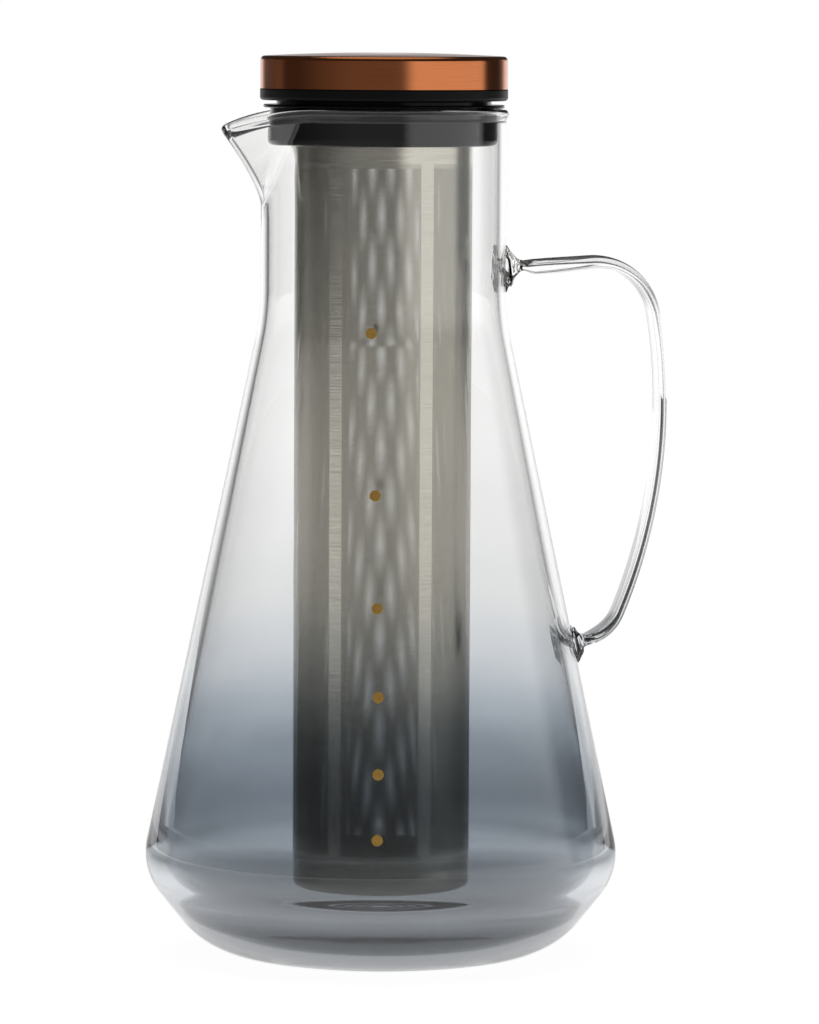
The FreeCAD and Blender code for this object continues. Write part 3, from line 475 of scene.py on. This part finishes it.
def handle_path():
    """Centre line of the handle, from inside the neck's wall to inside the cone's wall."""
    cos, sin = math.cos(CONE_LEAN), math.sin(CONE_LEAN)
    above = TOP_HEIGHT - GRIP[1]
    top = (GRIP[0] + math.sqrt((GRIP_RADIUS - TOP_BEND) ** 2 - above**2), TOP_HEIGHT)
    reach = (SHOULDER[0] - GRIP[0]) * cos + (SHOULDER[1] - GRIP[1]) * sin
    reach += SHOULDER_OUT + LOW_GAP
    drop = math.sqrt((GRIP_RADIUS - LOW_BEND) ** 2 - reach**2)
    foot = (GRIP[0] + reach * cos + drop * sin, GRIP[1] + reach * sin - drop * cos)
    across, up = top[0] - STRAP_START[0], top[1] - STRAP_START[1]
    rise = math.atan2(up, across) + math.asin(TOP_BEND / math.hypot(across, up))
    root = (
        STRAP_START[0] - START_DEPTH * math.cos(rise),
        STRAP_START[1] - START_DEPTH * math.sin(rise),
    )
    high = math.atan2(top[1] - GRIP[1], top[0] - GRIP[0])
    low = math.atan2(foot[1] - GRIP[1], foot[0] - GRIP[0])
    bend = arc(top, TOP_BEND, rise + PI / 2, high, 28)
    points = [root] + run(root, bend[0], 60) + bend
    points += arc(GRIP, GRIP_RADIUS, high, low, 60)[1:]
    points += arc(foot, LOW_BEND, low, CONE_LEAN - PI / 2, 24)[1:]
    end = points[-1]
    tail = (end[0] - END_DEPTH * cos, end[1] - END_DEPTH * sin)
    points += run(end, tail, 24) + [tail]
    return np.array(points)


def handle_section(width, thick, corner):
    """Points of a flat section with round edges and a crowned outer face: across and out."""
    points = []
    bend = corner * CORNER_SHARE
    camber = min(max(CAMBER_UNDER - thick, 0), CAMBER, max(thick - 2 * bend, 0))
    half = width / 2 - bend
    for quarter, side in enumerate(((1, 1), (-1, 1), (-1, -1), (1, -1))):
        drop = camber if side[1] > 0 else 0
        centre = (side[0] * half, side[1] * (thick / 2 - bend) - drop)
        points += arc(centre, bend, quarter * PI / 2, (quarter + 1) * PI / 2, 7)
        if quarter == 0:
            for share in np.linspace(1, -1, 14)[1:-1]:
                points.append((half * share, thick / 2 - camber * share**2))
    return points


def handle_mesh():
    """The strap lofted along its path, with a drawn-in neck and a button at each end."""
    path = handle_path()
    step = np.hypot(*np.diff(path, axis=0).T)
    along = np.concatenate([[0], np.cumsum(step)])
    total = along[-1]
    knots = np.array([*UPPER_END, *((total - s[0], *s[1:]) for s in LOWER_END[::-1])])
    sizes = [np.interp(along, knots[:, 0], knots[:, k]) for k in (1, 2, 3, 4)]
    sizes = [np.convolve(np.pad(s, 2, "edge"), np.ones(5) / 5, "valid") for s in sizes]
    heading = np.gradient(path, axis=0)
    heading /= np.hypot(*heading.T)[:, None]
    points = []
    weld = np.minimum(along, total - along)
    for (x, z), (dx, dz), width, thick, corner, shift, near in zip(path, heading, *sizes, weld):
        lumpy = 0.1 * np.clip((5.5 - near) / 2, 0, 1)  # the welds are a little uneven
        for across, out in handle_section(width, thick, corner):
            turn = math.atan2(out, across)
            lumps = math.sin(3 * turn + 1.2 * near) + math.sin(7 * turn - 2.3 * near)
            swell = 1 + lumpy * lumps
            out = out * swell + shift
            points.append((x - dz * out, across * swell, z + dx * out))
    size = len(points) // len(path)
    last = len(points) - size
    faces = [tuple(range(size))[::-1], tuple(range(last, len(points)))]
    for low in range(0, last, size):
        faces += band(low, low + size, size)
    return new_mesh("handle", np.array(points) * MM, faces)


def make_carafe():
    """Carafe and handle as one piece of glass."""
    carafe, handle = carafe_mesh(), handle_mesh()
    outward(carafe)
    outward(handle)
    union = carafe.modifiers.new("handle", "BOOLEAN")
    union.operation, union.solver, union.object = "UNION", "EXACT", handle
    shape = carafe.evaluated_get(bpy.context.evaluated_depsgraph_get())
    joined = bpy.data.meshes.new_from_object(shape)
    carafe.modifiers.clear()
    carafe.data = joined
    bpy.data.objects.remove(handle)
    joined.shade_smooth()
    joined.set_sharp_from_angle(angle=math.radians(50))
    joined.materials.clear()
    joined.materials.append(glass_material())
    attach(carafe, "carafe")
    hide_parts("carafe_glass", "handle_strap", "handle_pad_upper", "handle_pad_lower")


# share of the tint's height, and the glass's colour there: smoky below and clear above, with a
# paler belt of painted light where the thick heel would make it too dark
TINT_HEIGHT = 160.0
TINT_AND_PAINTED_BELT = (
    (0.0, (0.28, 0.295, 0.31)), (0.05, (0.30, 0.315, 0.335)), (0.085, (0.35, 0.37, 0.39)),
    (0.11, (0.50, 0.52, 0.55)), (0.135, (0.70, 0.72, 0.75)), (0.16, (0.66, 0.69, 0.72)),
    (0.20, (0.46, 0.495, 0.525)), (0.25, (0.41, 0.445, 0.485)), (0.33, (0.425, 0.462, 0.503)),
    (0.43, (0.56, 0.598, 0.635)), (0.56, (0.79, 0.81, 0.83)), (0.68, (0.895, 0.90, 0.90)),
    (0.82, (0.94, 0.942, 0.938)), (1.0, (0.985, 0.987, 0.982)),
)  # fmt: skip


def glass_material():
    """Clear glass that turns a smoky blue-grey below the middle."""
    material, graph, shader = new_material(
        "clear_glass", Roughness=0.0, IOR=1.474, Transmission_Weight=1.0
    )
    height = graph.remap(graph.height(), 0.0, TINT_HEIGHT * MM)
    # the ramp holds the smoky tint and a paler belt of painted light at the heel
    graph.feed(shader.inputs["Base Color"], graph.ramp(height, TINT_AND_PAINTED_BELT))
    return material


# ------------------------------------------------------------------------------- level marks
MARK_HEIGHTS = (42.9, 61.7, 83.8, 109.3, 141.9, 189.0)
MARK_BEARING, MARK_DRIFT = -97.5, -4.5  # degrees, and what the row drifts by at the top mark
DOT_RINGS = ((1.65, -0.06), (1.65, 0.05), (1.5, 0.09), (0.7, 0.1))  # radius, height over the glass


def make_marks():
    """Six round enamel dots, fired on to the outside of the glass one above the other."""
    points, faces = [], []
    steps, side = 32, Vector((0, 1, 0))
    second, span = MARK_HEIGHTS[1], MARK_HEIGHTS[-1] - MARK_HEIGHTS[1]
    for height in MARK_HEIGHTS:
        bearing = MARK_BEARING + MARK_DRIFT * ((height - second) / span) ** 2
        turn = Matrix.Rotation(math.radians(bearing), 3, "Z")
        below = SWEEP[1] - height
        if below < SWEEP_OUT * math.sin(CONE_LEAN):
            lean = math.asin(below / SWEEP_OUT)
            radius = NECK + SWEEP_OUT * (1 - math.cos(lean))
        else:
            lean = CONE_LEAN
            away = SHOULDER_OUT - (height - SHOULDER[1]) * math.sin(lean)
            radius = SHOULDER[0] + away / math.cos(lean)
        out = Vector((math.cos(lean), 0, math.sin(lean)))
        up = Vector((-math.sin(lean), 0, math.cos(lean)))
        first = len(points)
        for size, lift in DOT_RINGS:
            for k in range(steps):
                a = 2 * PI * k / steps
                flat = side * (size * math.cos(a)) + up * (size * math.sin(a))
                sag = 1 - math.sqrt(1 - (flat.y / radius) ** 2)
                spot = Vector((radius, 0, height)) + flat + out * (lift - sag * radius)
                points.append(turn @ spot)
        last = len(points) - steps
        for low in range(first, last, steps):
            faces += band(low, low + steps, steps)
        faces.append(tuple(range(first, first + steps))[::-1])
        faces.append(tuple(range(last, len(points))))
    marks = new_mesh("level_dots", [point * MM for point in points], faces)
    material, graph, shader = new_material("amber_enamel", Roughness=0.35)
    tone = graph.remap(graph.noise(graph.point(), 900, 3), *NOISE_RANGE)
    colour = graph.ramp(tone, [(0, (0.50, 0.29, 0.055)), (1, (0.58, 0.345, 0.075))])
    graph.feed(shader.inputs["Base Color"], colour)
    marks.data.materials.append(material)
    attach(marks, "carafe")
    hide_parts("level_marks")


# ------------------------------------------------------------------------------- metal
# painted shade that darkens the filter's steel downwards: heights where it is full and where it
# ends, how far down they wander, and the share of light that the full painted shade leaves
PAINTED_SHADE_ENDS, PAINTED_SHADE_WAVE, PAINTED_SHADE_LIGHT = (50.0, 140.0), 30.0, 0.5


def brushed(graph, shader, radius, stretch, strength):
    """Fine brushing round a turned piece: its sheen and relief, and its tone from 0 to 1."""
    tangent = graph.add("Tangent", direction_type="RADIAL", axis="Z").outputs[0]
    graph.feed(shader.inputs["Tangent"], tangent)
    around = graph.math("MULTIPLY", graph.angle(), radius * MM)
    spread = graph.add("CombineXYZ", {0: around, 2: graph.height()}).outputs[0]
    streak = graph.noise(spread, 1.0, 3, stretch)
    graph.feed(shader.inputs["Normal"], graph.bump(streak, strength, 0.0002))
    return graph.remap(streak, *NOISE_RANGE)


def painted_low_shade(graph, colour):
    """The colour of steel with painted shade, darker towards its lower end."""
    cloud = graph.noise(graph.point(), 40, 3)
    level = graph.math("MULTIPLY_ADD", cloud, PAINTED_SHADE_WAVE * MM, graph.height())
    low, high = (end * MM for end in PAINTED_SHADE_ENDS)
    keep = graph.remap(level, low, high, PAINTED_SHADE_LIGHT, 1.0, "SMOOTHSTEP")
    shade = graph.add("CombineColor", {0: keep, 1: keep, 2: keep}).outputs[0]
    return graph.mix(1.0, colour, shade, "MULTIPLY")


# ------------------------------------------------------------------------------- filter
TUBE_RADIUS = 26.6
STEEL = (0.67, 0.64, 0.565)

# the etched panels: sheets between ribs, with a plain border and a line of dots at both sides
PANELS, PANEL_TURN, RIB_HALF = 6, -8, 2.1
PANEL_ENDS, PANEL_FACES = (30.3, 238.5), (26.54, 26.44)
SLOT_PITCH, ROW_PITCH, SLOT_LEVEL = 0.346, 0.41, 0.32
BORDER, DOT_LINE, DOT_HALF = 0.093, 0.084, 0.0032  # shares of a panel's turn, from the rib
DOT_PITCH, DOT_LEVEL = 1.3, 0.1
ETCHED_ENDS = (31.0, 237.2)


def steel_material():
    """Brushed steel with fine streaks round the tube."""
    material, graph, shader = new_material(
        "filter_steel", Metallic=1.0, Roughness=0.2, Anisotropic=0.6
    )
    tone = brushed(graph, shader, TUBE_RADIUS, (60, 1, 4000), 0.08)
    dark, light = (tuple(c * k for c in STEEL) for k in (0.86, 1.08))
    plain = graph.ramp(tone, [(0, dark), (1, light)], "LINEAR")
    # painted shade: the steel is darkened towards its lower end
    graph.feed(shader.inputs["Base Color"], painted_low_shade(graph, plain))
    return material


def mesh_material():
    """Etched steel: staggered rows of upright slots, too fine to see one by one."""
    material, graph, shader = new_material("etched_mesh", Metallic=1.0, Roughness=0.24)
    # painted shade: the etched steel is darkened towards its lower end
    graph.feed(shader.inputs["Base Color"], painted_low_shade(graph, (0.54, 0.517, 0.455, 1)))
    z, angle = graph.height(), graph.angle()
    columns = graph.math("MULTIPLY", angle, 2 * PI * TUBE_RADIUS / SLOT_PITCH)
    rows = graph.math("MULTIPLY", z, PI / (ROW_PITCH * MM))
    waves = graph.math("MULTIPLY", graph.math("COSINE", columns), graph.math("COSINE", rows))
    slot = graph.math("GREATER_THAN", waves, SLOT_LEVEL)
    start = PANELS * (1 - PANEL_TURN / 360)
    turns = graph.math("MULTIPLY_ADD", angle, PANELS / (2 * PI), start)
    from_rib = graph.math("PINGPONG", graph.math("FRACT", turns), 0.5)
    inside = graph.math("GREATER_THAN", from_rib, BORDER)
    on_line = graph.math("COMPARE", from_rib, DOT_LINE, DOT_HALF)
    wave = graph.math("SINE", graph.math("MULTIPLY", z, 2 * PI / (DOT_PITCH * MM)))
    dots = graph.math("MULTIPLY", on_line, graph.math("GREATER_THAN", wave, DOT_LEVEL))
    hole = graph.math("MAXIMUM", graph.math("MULTIPLY", slot, inside), dots)
    low = graph.math("GREATER_THAN", z, ETCHED_ENDS[0] * MM)
    high = graph.math("LESS_THAN", z, ETCHED_ENDS[1] * MM)
    hole = graph.math("MULTIPLY", hole, graph.math("MULTIPLY", low, high))
    graph.feed(shader.inputs["Alpha"], graph.math("SUBTRACT", 1.0, hole))
    return material


def make_panels():
    """Six thin etched sheets in the tube's windows."""
    points, faces = [], []
    steps = 24
    ring = steps + 1
    rib, share = math.asin(RIB_HALF / TUBE_RADIUS), 360 // PANELS
    for sheet in range(PANELS):
        first = len(points)
        start = math.radians(PANEL_TURN + share * sheet) + rib
        end = math.radians(PANEL_TURN + share * (sheet + 1)) - rib
        for radius in PANEL_FACES:
            for z in PANEL_ENDS:
                for a in np.linspace(start, end, ring):
                    points.append((radius * math.cos(a), radius * math.sin(a), z))
        outer_low, outer_high, inner_low, inner_high = (first + k * ring for k in range(4))
        sides = (
            (outer_low, outer_high),
            (inner_high, inner_low),
            (inner_low, outer_low),
            (outer_high, inner_high),
        )
        for k in range(steps):
            for low, high in sides:
                faces.append((low + k, low + k + 1, high + k + 1, high + k))
        edge = (outer_low, outer_high, inner_high, inner_low)
        faces.append(edge)
        faces.append(tuple(corner + steps for corner in (edge[0], *edge[:0:-1])))
    panels = new_mesh("etched_panels", np.array(points) * MM, faces)
    outward(panels)
    panels.data.shade_smooth()
    panels.data.set_sharp_from_angle(angle=math.radians(40))
    panels.data.materials.append(mesh_material())
    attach(panels, "filter")
    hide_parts("mesh_panels")


# ------------------------------------------------------------------------------- lid and collar
CAP_RADIUS = 37.1


def copper_material():
    """Copper-toned steel with fine brushing round its side and top."""
    material, graph, shader = new_material(
        "copper_steel", Metallic=1.0, Roughness=0.12, Anisotropic=0.7
    )
    tone = brushed(graph, shader, CAP_RADIUS, (40, 1, 5000), 0.06)
    colour = graph.ramp(tone, [(0, (0.57, 0.185, 0.068)), (1, (0.68, 0.23, 0.092))], "LINEAR")
    graph.feed(shader.inputs["Base Color"], colour)
    return material


def dark_material(name, roughness, level):
    """Black silicone or plastic with a faint cloud in its gloss."""
    material, graph, shader = new_material(name, Roughness=roughness, Specular_IOR_Level=0.12)
    cloud = graph.noise(graph.point(), 60, 3)
    low, high = NOISE_RANGE
    graph.feed(shader.inputs["Base Color"], graph.ramp(cloud, [(low, 0.7 * level), (high, level)]))
    spread = graph.remap(cloud, low, high, roughness * 0.85, roughness * 1.15)
    graph.feed(shader.inputs["Roughness"], spread)
    grain = graph.noise(graph.point(), 2500, 2)
    graph.feed(shader.inputs["Normal"], graph.bump(grain, 0.05, 0.0001))
    return material


def dress(name, material):
    """Give a CAD node its material."""
    data = nodes[name].data
    data.materials.clear()
    data.materials.append(material)
    for face in data.polygons:
        face.material_index = 0


def dress_nodes():
    """Materials of the pieces that keep their CAD shape."""
    steel = steel_material()
    for name in ("filter_tube", "filter_top_ring", "filter_bottom_cup"):
        dress(name, steel)
    dress("lid_cap", copper_material())
    dress("seal_collar", dark_material("collar_silicone", 0.16, 0.003))
    silicone = dark_material("black_silicone", 0.4, 0.004)
    dress("lid_ring", silicone)
    dress("lid_seal", silicone)
    dress("lid_core", dark_material("black_plastic", 0.4, 0.02))


# ------------------------------------------------------------------------------- scene
def set_look():
    """Plain colours, and enough bounces for glass in front of and behind the filter."""
    scene = bpy.context.scene
    scene.view_settings.view_transform = "Standard"
    scene.cycles.max_bounces = 20
    scene.cycles.transmission_bounces = 16
    scene.cycles.glossy_bounces = 6
    scene.cycles.diffuse_bounces = 3
    scene.cycles.transparent_max_bounces = 24


set_camera()
set_world()
add_floor()
set_look()
make_carafe()
make_marks()
make_panels()
dress_nodes()
